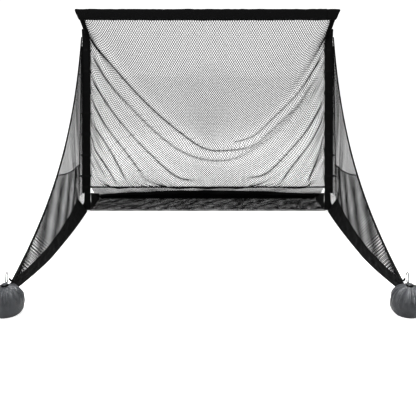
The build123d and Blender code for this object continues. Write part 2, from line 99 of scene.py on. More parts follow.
def textured(name, color, roughness, fine, fine_bump, coarse=9.0, spread=0.25, weave=0.0, **more):
    """A surface with a fine grain or weave in its bump and slow changes of tone and gloss."""
    m = material(name, color, roughness, **more)
    b = m.node_tree.nodes["Principled BSDF"]
    place = node(m, "ShaderNodeTexCoord")
    slow = node(m, "ShaderNodeTexNoise", Scale=coarse, Detail=4.0, Roughness=0.6)
    link(m, place, "Object", slow, "Vector")
    tone = node(m, "ShaderNodeValToRGB")
    tone.color_ramp.elements[0].position = 0.3
    tone.color_ramp.elements[0].color = (*[c * (1 - spread) for c in color], 1)
    tone.color_ramp.elements[1].position = 0.7
    tone.color_ramp.elements[1].color = (*[c * (1 + spread) for c in color], 1)
    link(m, slow, "Fac", tone, "Fac")
    link(m, tone, "Color", b, "Base Color")
    gloss = node(m, "ShaderNodeMapRange")
    gloss.inputs["To Min"].default_value = max(0.05, roughness - 0.08)
    gloss.inputs["To Max"].default_value = min(1.0, roughness + 0.08)
    link(m, slow, "Fac", gloss, "Value")
    link(m, gloss, "Result", b, "Roughness")
    if weave:
        warp = node(m, "ShaderNodeTexWave", bands_direction="DIAGONAL", Scale=weave, Distortion=0.4)
        weft = node(m, "ShaderNodeTexWave", bands_direction="Z", Scale=weave, Distortion=0.4)
        link(m, place, "Object", warp, "Vector")
        link(m, place, "Object", weft, "Vector")
        height = node(m, "ShaderNodeMath", operation="ADD")
        link(m, warp, "Fac", height, 0)
        link(m, weft, "Fac", height, 1)
        source = "Value"
    else:
        height = node(m, "ShaderNodeTexNoise", Scale=fine, Detail=3.0)
        link(m, place, "Object", height, "Vector")
        source = "Fac"
    bump = node(m, "ShaderNodeBump", Strength=fine_bump, Distance=0.001)
    link(m, height, source, bump, "Height")
    link(m, bump, "Normal", b, "Normal")
    return m


cloth = textured(
    "black_polyester", (0.0042, 0.0042, 0.0045), 0.84, 0, 0.35, coarse=7, weave=260, sheen=0.03, specular=0.18
)
webbing = textured("black_webbing", (0.006, 0.006, 0.0065), 0.75, 900, 0.3, coarse=40, specular=0.2)
powder = textured("black_powder_coat", (0.010, 0.010, 0.011), 0.42, 700, 0.12, coarse=12, spread=0.15)
rubber = textured("black_rubber", (0.014, 0.014, 0.014), 0.75, 300, 0.2, coarse=30, spread=0.15)
zinc = textured("zinc_plated_steel", (0.56, 0.57, 0.58), 0.32, 1200, 0.08, coarse=60, spread=0.12, metallic=1.0)
dark_steel = textured(
    "black_oxide_steel", (0.006, 0.006, 0.0065), 0.62, 900, 0.1, coarse=60, spread=0.2, specular=0.15
)
bag_cloth = textured(
    "charcoal_bag_polyester", (0.034, 0.037, 0.042), 0.34, 0, 0.35, coarse=25, spread=0.25, weave=300, sheen=0.10,
    specular=0.75
)
twine_mat = material("black_nylon_twine", (0.004, 0.004, 0.0045), 0.7, sheen=0.02, specular=0.2)
rope_mat = material("black_braided_cord", (0.005, 0.005, 0.005), 0.75, sheen=0.03, specular=0.2)
thread_mat = material("grey_sewing_thread", (0.045, 0.045, 0.048), 0.6)
foam_mat = material("grey_foam", (0.05, 0.05, 0.055), 0.9)

by_name = {
    "tube": powder, "elbow": powder, "post_lower": powder, "post_upper": powder, "arm": powder, "bar": powder,
    "pads": rubber, "foam": foam_mat, "snap": zinc, "leaf": zinc, "carabiner": dark_steel,
    "gate_pin": dark_steel, "ties": webbing, "hooks": webbing,
}
for name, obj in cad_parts.items():
    for key, m in by_name.items():
        if key in name:
            obj.data.materials.clear()
            obj.data.materials.append(m)

# Mesh helpers ------------------------------------------------------------------------------------------


def mesh(name, verts, faces, mat, smooth=True):
    me = bpy.data.meshes.new(name)
    faces = faces if isinstance(faces, list) else np.asarray(faces).tolist()
    me.from_pydata(np.asarray(verts, float).tolist(), [], faces)
    me.materials.append(mat)
    me.polygons.foreach_set("use_smooth", [smooth] * len(me.polygons))
    me.update()
    obj = bpy.data.objects.new(name, me)
    bpy.context.scene.collection.objects.link(obj)
    return obj


def grid_faces(rows, cols, closed=False, flip=False):
    """Quads of a grid of rows x cols points; closed joins the last column to the first."""
    i = np.arange(rows - 1)[:, None] * cols
    j = np.arange(cols if closed else cols - 1)[None, :]
    k = (j + 1) % cols
    quads = np.stack([i + j, i + k, i + cols + k, i + cols + j], -1).reshape(-1, 4)
    return quads[:, ::-1] if flip else quads


def surface(name, points, mat, closed=False, caps=False, flip=False):
    """A skin over a grid of points (rows, cols, 3)."""
    rows, cols = points.shape[:2]
    verts = points.reshape(-1, 3)
    faces = grid_faces(rows, cols, closed, flip).tolist()
    if caps:
        ends = [verts[:cols].mean(0), verts[-cols:].mean(0)]
        verts = np.vstack([verts, ends])
        n = rows * cols
        for j in range(cols):
            k = (j + 1) % cols
            a, b = [n, k, j], [n + 1, (rows - 1) * cols + j, (rows - 1) * cols + k]
            faces += [a[::-1], b[::-1]] if flip else [a, b]
    return mesh(name, verts, faces, mat)


def thicken(obj, thickness):
    s = obj.modifiers.new("thickness", "SOLIDIFY")
    s.thickness = thickness
    s.offset = 0
    return apply(obj)


def apply(obj):
    """Bakes the modifiers into the mesh."""
    dg = bpy.context.evaluated_depsgraph_get()
    me = bpy.data.meshes.new_from_object(obj.evaluated_get(dg))
    obj.modifiers.clear()
    obj.data = me
    return obj


def frames_along(path):
    """Tangent and two turned-in normals along a path, without twist."""
    path = np.asarray(path, float)
    t = np.gradient(path, axis=0)
    t /= np.linalg.norm(t, axis=1)[:, None]
    ref = np.array([0, 0, 1.0]) if abs(t[0][2]) < 0.9 else np.array([1.0, 0, 0])
    a = np.cross(t[0], ref)
    a /= np.linalg.norm(a)
    out = [a]
    for k in range(1, len(path)):
        a = a - t[k] * (a @ t[k])
        a /= np.linalg.norm(a)
        out.append(a)
    a = np.array(out)
    return t, a, np.cross(t, a)


def lengths_along(path):
    """How far along the path each of its points is."""
    return np.r_[0, np.cumsum(np.linalg.norm(np.diff(path, axis=0), axis=1))]


def points_at(path, marks, spots):
    """The path's points at spots, where marks says where its own points are."""
    return np.stack([np.interp(spots, marks, path[:, k]) for k in range(3)], 1)


def resample(path, step):
    """The path in even steps of about this length."""
    path = np.asarray(path, float)
    d = lengths_along(path)
    return points_at(path, d, np.linspace(0, d[-1], max(2, int(round(d[-1] / step)) + 1)))


def curve_through(points, n=12):
    """A smooth path through points."""
    p = np.asarray(points, float)
    p = np.vstack([2 * p[0] - p[1], p, 2 * p[-1] - p[-2]])
    out = []
    for k in range(1, len(p) - 2):
        for t in np.linspace(0, 1, n, endpoint=False):
            a, b, c, d = p[k - 1], p[k], p[k + 1], p[k + 2]
            out.append(
                0.5 * (2 * b + (c - a) * t + (2 * a - 5 * b + 4 * c - d) * t * t + (3 * b - a - 3 * c + d) * t**3)
            )
    out.append(p[-2])
    return np.array(out)


def cord_mesh(name, path, radius, mat, step=None, sides=10, braid=0.12):
    """A braided cord: its surface swells in two crossing helices."""
    path = resample(path, step or radius * 0.9)
    t, a, b = frames_along(path)
    s = lengths_along(path)[:, None]
    th = np.linspace(0, 2 * pi, sides, endpoint=False)[None, :]
    turn = s / (radius * 3.2) * 2 * pi / 2
    r = radius * (1 - braid + braid * np.abs(np.sin(th * 2 + turn) * np.cos(th * 2 - turn)) * 1.6)
    pts = path[:, None] + r[..., None] * (np.cos(th)[..., None] * a[:, None] + np.sin(th)[..., None] * b[:, None])
    return surface(name, pts, mat, closed=True, caps=True)


def strands(name, starts, ends, mat, radius=TWINE):
    """Three-sided prisms from starts to ends, as one mesh."""
    d = ends - starts
    length = np.linalg.norm(d, axis=1)
    keep = length > 1e-4
    starts, ends, d = starts[keep], ends[keep], d[keep] / length[keep, None]
    radius = np.broadcast_to(radius, (len(keep), 1))[keep]
    starts, ends = starts - d * radius * 0.6, ends + d * radius * 0.6
    ref = np.where(np.abs(d[:, :1]) < 0.8, [[1.0, 0, 0]], [[0, 0, 1.0]])
    a = np.cross(d, ref)
    a /= np.linalg.norm(a, axis=1)[:, None]
    b = np.cross(d, a)
    verts = np.empty((len(d), 2, 3, 3))
    for k in range(3):
        off = radius * (cos(k * 2 * pi / 3) * a + sin(k * 2 * pi / 3) * b)
        verts[:, 0, k], verts[:, 1, k] = starts + off, ends + off
    base = np.arange(len(d))[:, None] * 6
    faces = np.concatenate([base + np.array([k, (k + 1) % 3, 3 + (k + 1) % 3, 3 + k]) for k in range(3)])
    return mesh(name, verts.reshape(-1, 3), faces, mat)


def nurbs_route(points):
    """Points of the smooth spline that has these control points."""
    data = bpy.data.curves.new("route", "CURVE")
    data.dimensions = "3D"
    spline = data.splines.new("NURBS")
    spline.points.add(len(points) - 1)
    for point, place in zip(spline.points, points):
        point.co = (*[float(c) for c in place], 1)
    spline.order_u, spline.use_endpoint_u, spline.resolution_u = 3, True, 40
    obj = bpy.data.objects.new("route", data)
    route = bpy.data.meshes.new_from_object(obj)
    out = np.array([v.co for v in route.vertices])
    bpy.data.objects.remove(obj)
    return out


def stitches(name, path, length=0.0045, gap=0.0025, radius=0.0006):
    """A row of thread stitches along a path."""
    line = resample(path, (length + gap) / 8)
    starts, ends = line[:-8:8], line[5::8][: len(line[:-8:8])]
    n = min(len(starts), len(ends))
    obj = strands(name, starts[:n], ends[:n], thread_mat, radius)
    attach(obj, "frame")
    return obj


def knot_mesh(name, centres, radius, mat):
    """A small eight-sided knot at each centre."""
    six = radius * np.array([[1, 0, 0], [-1, 0, 0], [0, 1, 0], [0, -1, 0], [0, 0, 1], [0, 0, -1]])
    tri = np.array([[0, 2, 4], [2, 1, 4], [1, 3, 4], [3, 0, 4], [2, 0, 5], [1, 2, 5], [3, 1, 5], [0, 3, 5]])
    verts = (centres[:, None] + six).reshape(-1, 3)
    return mesh(name, verts, (np.arange(len(centres))[:, None, None] * 6 + tri).reshape(-1, 3), mat)


def noise1(n, scale, seed):
    """Smooth random numbers, n of them, scale samples per wave."""
    r = np.random.default_rng(seed).normal(0, 1, int(n / scale) + 4)
    x = np.arange(n) / scale
    i = x.astype(int)
    f = x - i
    f = f * f * (3 - 2 * f)
    return r[i] * (1 - f) + r[i + 1] * f


def noise2(shape, scale, seed):
    """Smooth random numbers over a grid; scale is samples per wave along rows and columns."""
    r = np.random.default_rng(seed).normal(0, 1, (int(shape[0] / scale[0]) + 4, int(shape[1] / scale[1]) + 4))
    x, y = np.arange(shape[0])[:, None] / scale[0], np.arange(shape[1])[None, :] / scale[1]
    i, j = x.astype(int), y.astype(int)
    f, g = x - i, y - j
    f, g = f * f * (3 - 2 * f), g * g * (3 - 2 * g)
    return (r[i, j] * (1 - f) + r[i + 1, j] * f) * (1 - g) + (r[i, j + 1] * (1 - f) + r[i + 1, j + 1] * f) * g


# The catching net: knots joined by strings, hung from the header, the posts and the lower rope -------------


def along(points, n):
    """n points in even steps along a line."""
    points = np.array(points, float)
    d = lengths_along(points)
    return points_at(points, d, np.linspace(0, d[-1], n))


def hang_net(cols, rows, top, left, bottom, belly, phases, bend=0.01, open_share=0.3, seed=3):
    """Knots of a diamond net after it has settled. Even rows have cols + 1 knots and odd rows cols."""
    right = left * [-1, 1, 1]
    u = np.linspace(-1, 1, cols + 1)
    p = np.zeros((rows + 1, cols + 1, 3))
    for i in range(rows + 1):
        v = i / rows
        across = u + (i % 2) / cols
        w = np.clip(1 - across**2, 0, 1)[:, None] ** 0.5
        row = left[i] + (right[i] - left[i]) * (across[:, None] + 1) / 2
        middle = (1 - v) * top[cols // 2] + v * bottom[cols // 2]
        row[:, 1:] = row[:, 1:] * (1 - w) + middle[1:] * w
        p[i] = row + w * sin(pi * v**1.3) * belly * BACK
    p[1:-1, 1:-1] += np.random.default_rng(seed).normal(0, 0.003, p[1:-1, 1:-1].shape)
    even = np.arange(rows + 1) % 2 == 0
    p[0], p[-1] = top, bottom
    p[even, 0], p[even, cols] = left[even], right[even]
    free = np.ones((rows + 1, cols + 1))
    free[0] = free[-1] = 0
    free[even, 0] = free[even, cols] = 0
    ev, od, j = np.arange(0, rows, 2)[:, None], np.arange(1, rows, 2)[:, None], np.arange(cols)[None, :]
    bars = [((ev, j), (ev + 1, j)), ((ev, j + 1), (ev + 1, j)), ((od, j), (od + 1, j)), ((od, j), (od + 1, j + 1))]
    beside = []
    for par in (0, 1):
        r = np.arange(par, rows + 1, 2)[:, None]
        for start in (0, 1):
            c = np.arange(start, cols - par, 2)[None, :]
            beside.append(((r, c), (r, c + 1)))

    def shares(pairs):
        out = []
        for a, b in pairs:
            total = free[a] + free[b]
            total[total == 0] = 1
            out.append((a, b, (free[a] / total)[..., None], (free[b] / total)[..., None]))
        return out

    bars_w, beside_w = shares(bars), shares(beside)
    ie, je, io, jo = np.arange(2, rows, 2)[:, None], np.arange(1, cols)[None, :], od[: rows // 2], j
    nearest = open_share * BAR * sqrt(2)
    speed = np.zeros_like(p)
    for gravity, dt, count, turns in phases:
        for _ in range(count):
            speed[..., 2] -= gravity * dt * free
            old = p
            p = p + speed * dt
            for _ in range(turns):
                for a, b, wa, wb in bars_w:
                    d = p[b] - p[a]
                    length = np.sqrt((d * d).sum(-1)) + 1e-9
                    over = length - BAR
                    d *= (np.where(over > 0, over, over * 0.03) / length)[..., None]
                    p[a] += d * wa
                    p[b] -= d * wb
                for a, b, wa, wb in beside_w:
                    d = p[b] - p[a]
                    length = np.sqrt((d * d).sum(-1)) + 1e-9
                    d *= (np.where(length < nearest, (length - nearest) * 0.5, 0) / length)[..., None]
                    p[a] += d * wa
                    p[b] -= d * wb
                m = (p[ie - 1, je - 1] + p[ie + 1, je] + p[ie - 1, je] + p[ie + 1, je - 1]) / 4
                p[ie, je] += (m - p[ie, je]) * bend
                m = (p[io - 1, jo] + p[io + 1, jo + 1] + p[io - 1, jo + 1] + p[io + 1, jo]) / 4
                p[io, jo] += (m - p[io, jo]) * bend
            p[..., 2] = np.maximum(p[..., 2], 0.012)
            speed = (p - old) / dt * 0.985 * free[..., None]
    return p, bars


COLS, ROWS = 104, 134
NET_EDGE = 1.434  # from the middle to the net's side edge
NET_LOW, NET_HIGH = 0.297, 2.05  # where that edge runs, up the posts
TIES = 7
ties = np.linspace(0, 1, ROWS + 1)
ties = ties - 0.5 * np.sin(2 * pi * TIES * ties) / (2 * pi * TIES)  # the edge bunches at its ties


def along_shares(points, shares):
    """Points at these shares of a line's length."""
    points = np.array(points, float)
    d = lengths_along(points)
    return points_at(points, d, shares * d[-1])


def net_corner(sx):
    return at(sx * 1.440, 0.352, 2.230)


net_top = along([net_corner(-1), net_corner(1)], COLS + 1)
edge_line = [
    net_corner(-1), on_frame(-1.442, 2.12, -0.03), on_frame(-NET_EDGE, NET_HIGH), on_frame(-NET_EDGE, NET_LOW)
]
net_left = along_shares(edge_line, ties)
net_bottom = along([on_frame(-NET_EDGE, NET_LOW), on_frame(NET_EDGE, NET_LOW)], COLS + 1)
phases = (((9.8, 0.004, 1000, 1), (3.0, 0.003, 200, 2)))
knots, pairs = hang_net(COLS, ROWS, net_top, net_left, net_bottom, 0.3, phases, bend=0.03)

# Folds: the slack gathers along lines that hang from the posts. Each is places across and up the net as the
# golfer sees it, with how hard it gathers and its width.
FOLDS = (
    (
        0.78, 0.055, (-1.446, 2.066), (-1.2, 1.78), (-0.91, 1.45), (-0.667, 1.205), (-0.38, 0.96), (-0.05, 0.735),
        (0.236, 0.705), (0.563, 0.775), (0.851, 1.02), (1.097, 1.267), (1.26, 1.492), (1.433, 1.697)
    ),
    (0.85, 0.040, (0.30, 0.80), (0.56, 0.886), (0.806, 1.107), (1.052, 1.353), (1.236, 1.6), (1.433, 1.906)),
    (
        0.62, 0.050, (-1.446, 1.906), (-1.24, 1.574), (-0.994, 1.29), (-0.67, 0.96), (-0.338, 0.705), (-0.01, 0.59),
        (0.314, 0.603), (0.646, 0.754), (0.929, 1.0), (1.22, 1.328), (1.433, 1.615)
    ),
    (0.72, 0.045, (-1.446, 1.615), (-1.2, 1.23), (-0.953, 0.922), (-0.67, 0.631), (-0.38, 0.385), (-0.1, 0.33)),
    (0.72, 0.045, (-1.446, 1.369), (-1.24, 1.0), (-0.994, 0.677), (-0.75, 0.344)),
    (0.72, 0.045, (-1.446, 1.082), (-1.2, 0.713), (-0.978, 0.30)),
    (0.65, 0.040, (-1.446, 0.80), (-1.24, 0.508), (-1.10, 0.27)),
    (0.74, 0.045, (1.433, 1.328), (1.22, 0.96), (1.015, 0.713), (0.728, 0.43), (0.45, 0.36)),
    (0.74, 0.045, (1.433, 1.123), (1.26, 0.80), (1.036, 0.508), (0.892, 0.30)),
    (0.65, 0.040, (1.433, 0.80), (1.322, 0.553), (1.22, 0.285)),
)
behind = (knots - [0, FY, 0]) @ BACK
up = (knots - [0, FY, 0]) @ UP
near = EYE / (EYE + behind)
seen = np.stack([knots[..., 0] * near, (up - EYE_UP) * near], -1)
hold = np.clip((NET_EDGE - np.abs(knots[..., 0])) / 0.06, 0, 1) * np.clip(up - 0.30, 0, 0.05) / 0.05
move, lift = np.zeros_like(seen), np.zeros(seen.shape[:2])
for pull, width, *places in FOLDS:
    line = curve_through([(x, s, 0) for x, s in places], 16)[:, :2]
    gap = seen[:, :, None, :] - line[None, None]
    distance = np.sqrt((gap**2).sum(-1))
    k = distance.argmin(-1)
    nearest = np.take_along_axis(gap, k[..., None, None], 2)[:, :, 0]
    d = np.take_along_axis(distance, k[..., None], 2)[..., 0]
    share = k / (len(line) - 1)
    fade = np.clip(share / 0.03, 0, 1) * np.clip((1 - share) / 0.12, 0.25, 1)
    hill = np.exp(-((d / width) ** 2)) * fade * hold
    move -= nearest * (pull * hill)[..., None]
    lift += 0.022 * hill
knots[..., 0] += move[..., 0] / near
knots += UP * (move[..., 1] / near)[..., None] - BACK * lift[..., None]

odd = np.arange(ROWS + 1) % 2 == 1
bars = np.concatenate([np.stack([knots[a], knots[b]], -2).reshape(-1, 2, 3) for a, b in pairs])
main_net = strands("main_net_mesh", bars[:, 0], bars[:, 1], twine_mat)
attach(main_net, "frame")
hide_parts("main_net")
tied = np.concatenate([knots[~odd].reshape(-1, 3), knots[odd][:, :COLS].reshape(-1, 3)])
net_knots = knot_mesh("main_net_knots", tied, 0.0050, twine_mat)
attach(net_knots, "frame")

for side, sx in SIDES:
    line = [on_frame(sx * NET_EDGE, s) for s in np.linspace(NET_LOW, NET_HIGH, 40)]
    line += [on_frame(sx * 1.442, 2.12, -0.03), net_corner(sx)]
    hem = cord_mesh(f"net_edge_hem_{side}", line, 0.003, rope_mat, step=0.006, sides=6)
    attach(hem, "frame")


# Flat and draped panels of the same mesh -------------------------------------------------------------------


def panel_bars(width, height, place, inside=None, across=0.0354, down=0.0354, cut=14):
    """Bars of a diamond net, width x height flat, put in place by place(a, b) and cut where inside(a, b) ends."""
    cols, rows = int(round(width / across)), int(round(height / down * 2))
    i, j = np.meshgrid(np.arange(rows + 1), np.arange(cols + 1), indexing="ij")
    a = (j + 0.5 * (i % 2)) * width / cols
    b = i * height / rows
    ends = []
    for i0 in range(rows):
        k0, k1 = (1, 0) if i0 % 2 == 0 else (0, 1)
        ends += [((i0, c), (i0 + 1, c)) for c in range(cols)]
        ends += [((i0, c + k0), (i0 + 1, c + k1)) for c in range(cols)]
    ends = np.array(ends)
    p0 = np.stack([a[ends[:, 0, 0], ends[:, 0, 1]], b[ends[:, 0, 0], ends[:, 0, 1]]], 1)
    p1 = np.stack([a[ends[:, 1, 0], ends[:, 1, 1]], b[ends[:, 1, 0], ends[:, 1, 1]]], 1)
    if inside is not None:
        in0, in1 = inside(p0[:, 0], p0[:, 1]), inside(p1[:, 0], p1[:, 1])
        some = in0 | in1
        p0, p1, in0, in1 = p0[some], p1[some], in0[some], in1[some]
        for p_out, p_in, out in ((p0, p1, ~in0), (p1, p0, ~in1)):
            lo, hi = np.zeros(len(p0)), np.ones(len(p0))
            for _ in range(cut):
                mid = (lo + hi) / 2
                q = p_in + (p_out - p_in) * mid[:, None]
                ok = inside(q[:, 0], q[:, 1])
                lo, hi = np.where(ok, mid, lo), np.where(ok, hi, mid)
            p_out[out] = (p_in + (p_out - p_in) * lo[:, None])[out]
    return place(p0[:, 0], p0[:, 1]), place(p1[:, 0], p1[:, 1])


def wave(a, b, terms):
    """A sum of slanted waves: terms are (height, waves per metre along a and b, phase)."""
    return sum(h * np.sin(2 * pi * (fa * a + fb * b) + ph) for h, fa, fb, ph in terms)


REAR_Y = 0.575  # the rear bar
POCKET_HALF = 1.428
LOW_NET = (2.86, 0.56)  # across and back
APRON = (2.896, 0.515)  # one layer, across and back


def arch(x):
    """The rear pocket's height along the rear bar."""
    return 0.050 + 0.050 * (1 - (x / POCKET_HALF) ** 2)


def lower_place(a, b):
    x = a - LOW_NET[0] / 2
    t = b / LOW_NET[1]
    rope_p, end_z = on_frame(0, 0.29), arch(np.clip(x, -POCKET_HALF, POCKET_HALF)) - 0.006
    y = rope_p[1] + (FY + REAR_Y - 0.045 - rope_p[1]) * t
    z = (
        rope_p[2] * (1 - t) + end_z * t - 0.045 * np.sin(pi * t)
        + wave(a, b, ((0.006, 1.3, 2.0, 0), (0.004, 3.1, -1.2, 1))) * np.sin(pi * t)
    )
    return np.stack([x, y, z], 1)


low_net = strands("lower_net_mesh", *panel_bars(*LOW_NET, lower_place, across=0.030), twine_mat)
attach(low_net, "frame")
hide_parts("lower_net")


def apron_place(layer):
    def place(a, b):
        x = a - APRON[0] / 2
        z = 0.003 + 0.0045 * layer + 0.003 * (1 + wave(a, b, ((0.5, 2.1, 3.0, layer), (0.5, 5.2, -4.0, 2 + layer))))
        return np.stack(
            [x + 0.01 * np.sin(b * 30 + layer), FY + 0.013 + b + 0.004 * np.sin(a * 9 + layer * 2), z], 1
        )
    return place


layers = [panel_bars(*APRON, apron_place(k), across=0.031, down=0.034) for k in (0, 1, 2)]
apron = strands(
    "floor_apron_mesh", np.vstack([a for a, _ in layers]), np.vstack([b for _, b in layers]), twine_mat, 0.0017
)
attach(apron, "frame")
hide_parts("floor_apron")

# Front hem: a webbing strip on the floor --------------------------------------------------------------------
xs = np.linspace(-1.45, 1.45, 300)
hem_pts = np.stack([
    np.stack(
        [
            xs, FY + 0.007 + w * 0.0075 + 0.0015 * noise1(300, 22, 5),
            0.0022 + 0.0012 * (1 + np.sin(xs * 13)) * (1 - abs(w) * 0.4)
        ],
        1
    )
    for w in (-1, -0.5, 0, 0.5, 1)
])
hem_strip = thicken(surface("front_hem_webbing", hem_pts, webbing), 0.0024)
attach(hem_strip, "frame")
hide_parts("front_hem")

# Rear pocket: fabric over the rear bar ----------------------------------------------------------------------
n = 260
xs = np.linspace(-POCKET_HALF, POCKET_HALF, n)
rows = []
for k, (dy, share) in enumerate(
    (
        (-0.044, 0.0), (-0.0445, 0.25), (-0.043, 0.5), (-0.039, 0.75), (-0.028, 0.93), (-0.01, 1.0), (0.012, 1.0),
        (0.029, 0.92), (0.036, 0.7), (0.037, 0.35), (0.037, 0.0)
    )
):
    lean_in = 0.006 * noise1(n, 9, 40 + k // 2) * (0.3 + share)
    z = 0.002 + (arch(xs) - 0.002) * share + 0.003 * noise1(n, 14, 60) * share
    low = np.maximum(z, 0.002)
    rows.append(np.stack([xs, FY + REAR_Y + dy + lean_in * 0.6, low], 1))
pocket = thicken(surface("rear_pocket_cover", np.array(rows), cloth), 0.0015)
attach(pocket, "frame")
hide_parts("rear_pocket")

# Header cover -----------------------------------------------------------------------------------------------
TOP_Y, TOP_Z, HEAD_Z = 0.340, 2.280, 2.281
HEADER_HALF = 1.374


def header_ring(n=48):
    """The header's rounded upright section as (y, z) offsets."""
    w, h, r = 0.084, 0.120, 0.035
    out = []
    for cy, cz, a0 in (
        (w / 2 - r, h / 2 - r, 0), (r - w / 2, h / 2 - r, pi / 2), (r - w / 2, r - h / 2, pi),
        (w / 2 - r, r - h / 2, 1.5 * pi)
    ):
        for t in np.linspace(a0, a0 + pi / 2, n // 4, endpoint=False):
            out.append((cy + r * cos(t), cz + r * sin(t)))
    return np.array(out)


ring = header_ring()
xs = np.linspace(-HEADER_HALF, HEADER_HALF, 420)
bulge = 0.0012 * noise2((len(xs), len(ring)), (16, 7), 11) + 0.0008 * noise2((len(xs), len(ring)), (6, 12), 12)
out_way = ring / np.linalg.norm(ring, axis=1)[:, None]
pts = np.zeros((len(xs), len(ring), 3))
pts[..., 0] = xs[:, None]
pts[..., 1] = FY + TOP_Y + ring[None, :, 0] * 0.985 + out_way[None, :, 0] * bulge
pts[..., 2] = (
    HEAD_Z + ring[None, :, 1] * 0.99 + out_way[None, :, 1] * bulge
    - 0.004 * (1 - (xs[:, None] / HEADER_HALF) ** 2) * (ring[None, :, 1] < 0)
)
header = surface("header_cover", pts, cloth, closed=True, caps=True)
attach(header, "frame")
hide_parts("header_sleeve", "top_foam")

# Corner covers: one soft skin over the header's end, the arm and the post's top ------------------------------


def block(points, radius, sides=20):
    t, a, b = frames_along(points)
    th = np.linspace(0, 2 * pi, sides, endpoint=False)
    return (
        points[:, None] + radius * (np.cos(th)[None, :, None] * a[:, None] + np.sin(th)[None, :, None] * b[:, None])
    )


# Up the post: where its cover starts and ends, and where the tube bends forward
S_LOW, S_TOP, POST_TOP = 0.221, 2.0725, 2.160
COVER_OUT = 0.0155  # how far the cover's middle stands outside the post's
CORNER_OUT = 1.5385


def sleeve_ring(s, sx, share=0.0, sides=40):
    """The post sleeve's oval at s, turning into the arm's circle as share goes to 1."""
    th = np.linspace(0, 2 * pi, sides, endpoint=False)[:, None]
    half_w, half_d = 0.0490 + (0.0255 - 0.0490) * share, 0.0395 + (0.0255 - 0.0395) * share
    return (
        on_frame(sx * (HALF + COVER_OUT * (1 - share)), s) + half_w * np.cos(th) * np.array([1, 0, 0])
        + half_d * np.sin(th) * BACK
    )


for side, sx in SIDES:
    x = sx * HALF
    verts, faces, count = [], [], 0
    end = np.zeros((7, len(ring), 3))
    tip = (
        1.5365 - 0.049 * np.clip((0.060 - ring[:, 1]) / 0.120, 0, 1)
        - 0.010 * np.clip((ring[:, 1] - 0.045) / 0.015, 0, 1) ** 2
    )
    end[..., 0] = sx * (1.375 + (tip[None, :] - 1.375) * np.linspace(0, 1, 7)[:, None])
    end[..., 1] = FY + TOP_Y + ring[None, :, 0] * 0.985
    end[..., 2] = HEAD_Z + ring[None, :, 1] * 0.99
    solids = [end if sx > 0 else end[::-1]]
    corner, bar_end = on_frame(x, POST_TOP), at(x, TOP_Y, TOP_Z)
    way = (bar_end - corner) / np.linalg.norm(bar_end - corner)
    turn = [
        (1 - k) ** 2 * on_frame(x, POST_TOP - 0.043) + 2 * k * (1 - k) * corner + k * k * (corner + way * 0.043)
        for k in np.linspace(0, 1, 9)
    ]
    solids.append(block(resample([on_frame(x, S_TOP + 0.012), *turn, bar_end], 0.012), 0.0262))
    solids.append(
        np.array([sleeve_ring(S_TOP + 0.001 + 0.042 * k, sx, k * k * (3 - 2 * k)) for k in np.linspace(0, 1, 8)])
    )
    fin = []
    th = np.linspace(0, 2 * pi, 40, endpoint=False)[:, None]
    for k in np.linspace(0, 1, 14):
        inner = 1.4415 + 0.073 * k**0.8
        ring_at = on_frame(sx * (CORNER_OUT + inner) / 2, S_TOP + 0.001 + 0.150 * k, -0.035 * k)
        fin.append(
            ring_at + (CORNER_OUT - inner) / 2 * np.cos(th) * np.array([1, 0, 0])
            + (0.0395 - 0.0255 * k) * np.sin(th) * BACK
        )
    solids.append(np.array(fin))
    for grid in solids:
        rows_, cols_ = grid.shape[:2]
        v = grid.reshape(-1, 3)
        verts.append(np.vstack([v, v[:cols_].mean(0), v[-cols_:].mean(0)]))
        f = (grid_faces(rows_, cols_, True) + count).tolist()
        for j in range(cols_):
            k = (j + 1) % cols_
            f += [
                [count + rows_ * cols_, count + k, count + j],
                [count + rows_ * cols_ + 1, count + (rows_ - 1) * cols_ + j, count + (rows_ - 1) * cols_ + k]
            ]
        faces += f
        count += len(verts[-1])
    boot = mesh(f"corner_cover_{side}", np.vstack(verts), faces, cloth)
    remesh = boot.modifiers.new("skin", "REMESH")
    remesh.mode, remesh.voxel_size = "VOXEL", 0.005
    soften = boot.modifiers.new("soft", "SMOOTH")
    soften.factor, soften.iterations = 0.5, 5
    apply(boot)
    co = np.array([v.co for v in boot.data.vertices])
    nrm = np.array([v.normal for v in boot.data.vertices])
    creases = 0.0011 * np.sin(
        co[:, 2] * 95 + co[:, 1] * 60 + 2 * np.sin(co[:, 0] * 40)
    ) * np.clip((FY + 0.62 - co[:, 1]) / 0.1, 0.2, 1)
    co += nrm * creases[:, None]
    boot.data.vertices.foreach_set("co", co.astype(np.float32).ravel())
    boot.data.polygons.foreach_set("use_smooth", [True] * len(boot.data.polygons))
    boot.data.materials.clear()
    boot.data.materials.append(cloth)
    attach(boot, "frame")
    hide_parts(f"corner_boot_{side}")

